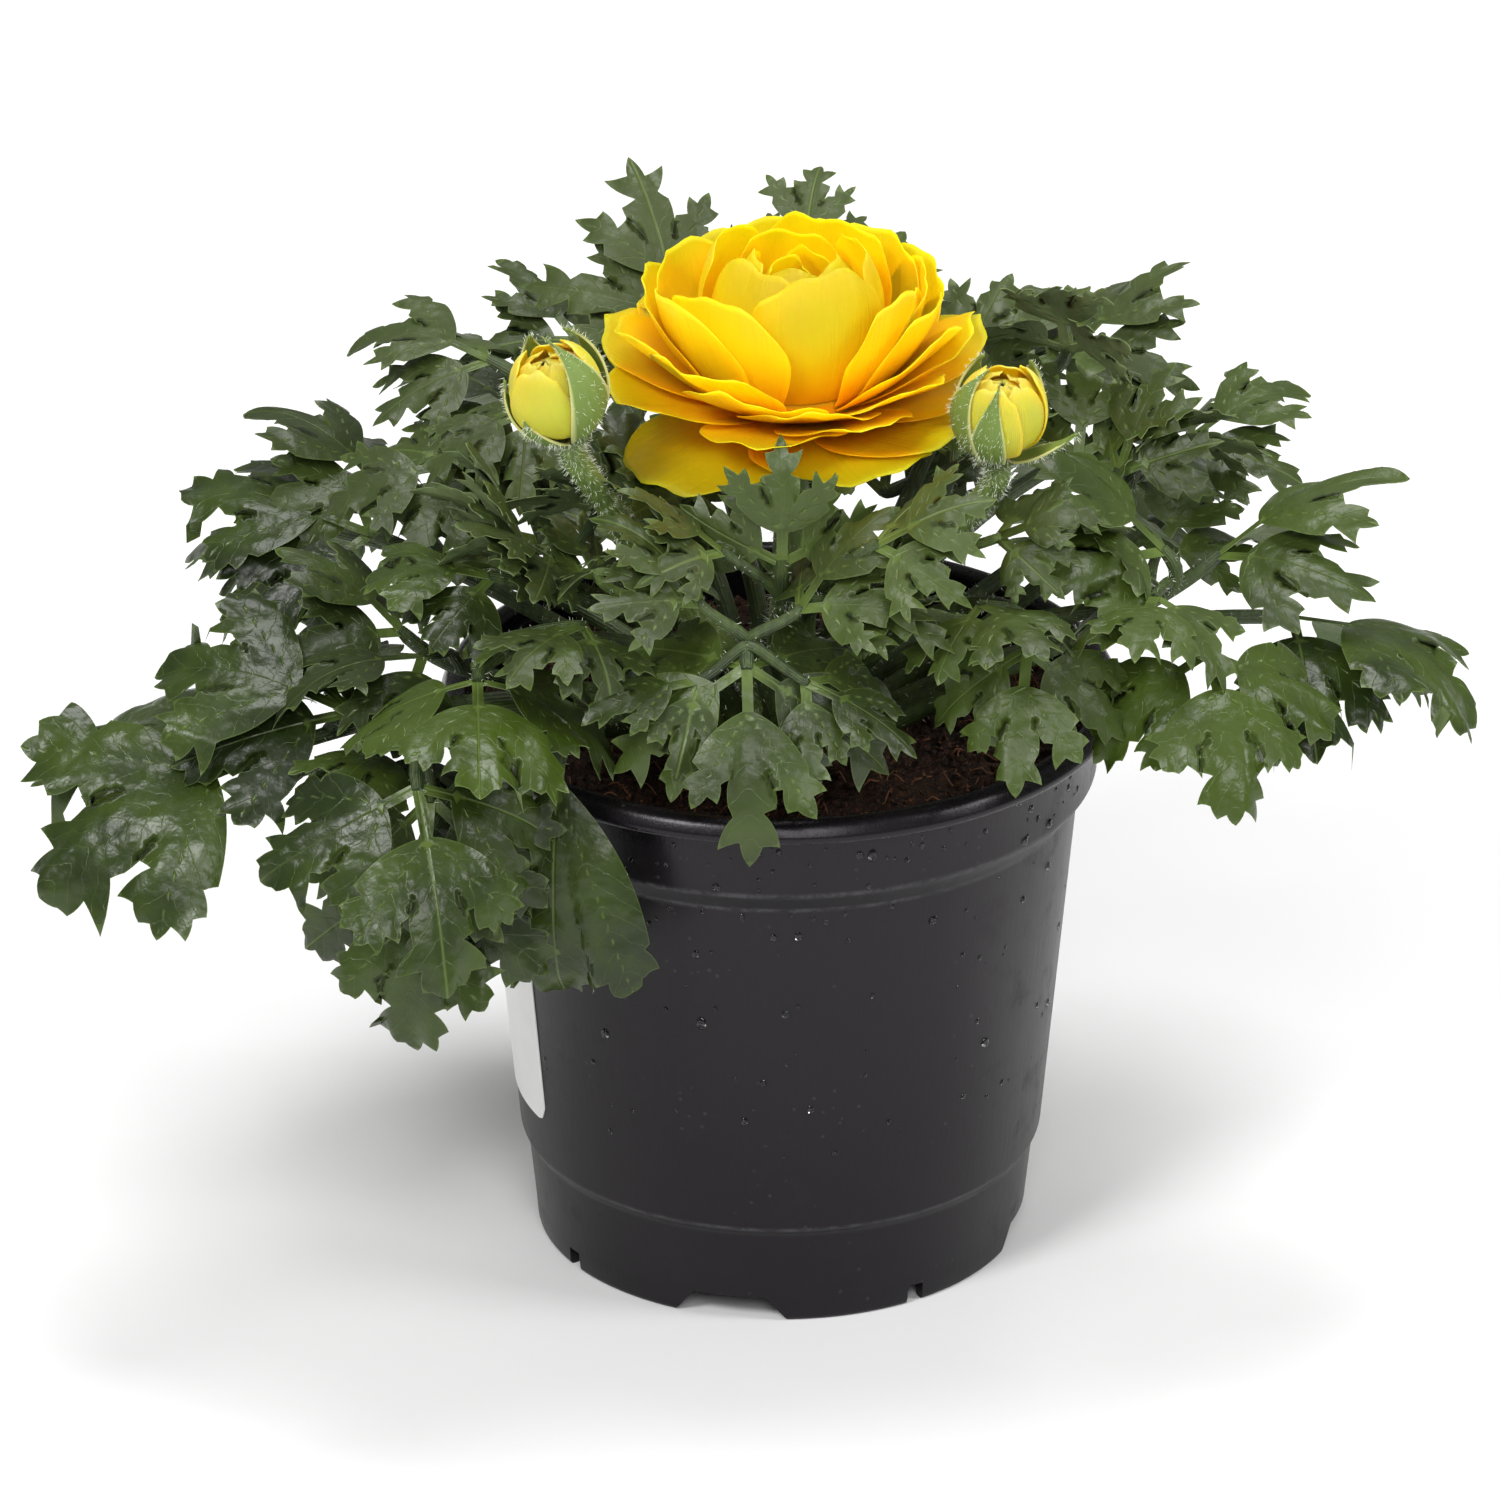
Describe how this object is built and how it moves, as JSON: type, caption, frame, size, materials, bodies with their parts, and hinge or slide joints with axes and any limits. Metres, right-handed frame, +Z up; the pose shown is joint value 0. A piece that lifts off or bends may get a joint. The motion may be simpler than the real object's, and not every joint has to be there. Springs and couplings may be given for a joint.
{
  "type": "potted persian buttercup",
  "caption": "Flowering persian buttercup in a black nursery pot: arched stalks with lobed leaves, one open double flower and closed buds.",
  "frame": {"origin": "middle of the pot's underside, in the plane it stands on", "axes": "+Z up along the pot's axis, -Y towards the front of the plant as pictured, +X to the right in the picture"},
  "size_m": [0.247, 0.1946, 0.1881],
  "materials": {
    "pot_plastic": "satin",
    "label": "satin",
    "soil": "matte",
    "tuber": "matte",
    "leaf": "satin",
    "stem": "matte",
    "petal": "satin"
  },
  "bodies": {
    "root": {"flower_petals": "petal", "flower_stem": "stem", "leaf_01": "leaf", "leaf_02": "leaf", "leaf_03": "leaf", "leaf_04": "leaf", "leaf_05": "leaf", "leaf_06": "leaf", "leaf_07": "leaf", "leaf_08": "leaf", "leaf_09": "leaf", "leaf_10": "leaf", "leaf_11": "leaf", "leaf_12": "leaf", "leaf_13": "leaf", "leaf_14": "leaf", "leaf_15": "leaf", "leaf_16": "leaf", "leaf_17": "leaf", "leaf_18": "leaf", "leaf_19": "leaf", "leaf_20": "leaf", "leaf_21": "leaf", "leaf_22": "leaf", "leaf_23": "leaf", "leaf_24": "leaf", "leaf_25": "leaf", "leaf_26": "leaf", "leaf_27": "leaf", "leaf_28": "leaf", "leaf_29": "leaf", "leaf_30": "leaf", "leaf_34": "leaf", "leaf_38": "leaf", "left_bud_petals": "petal", "left_bud_stem": "stem", "pot": "pot_plastic", "right_bud_petals": "petal", "right_bud_stem": "stem", "rootstock": "tuber", "soil": "soil", "sticker": "label"}
  },
  "joints": []
}
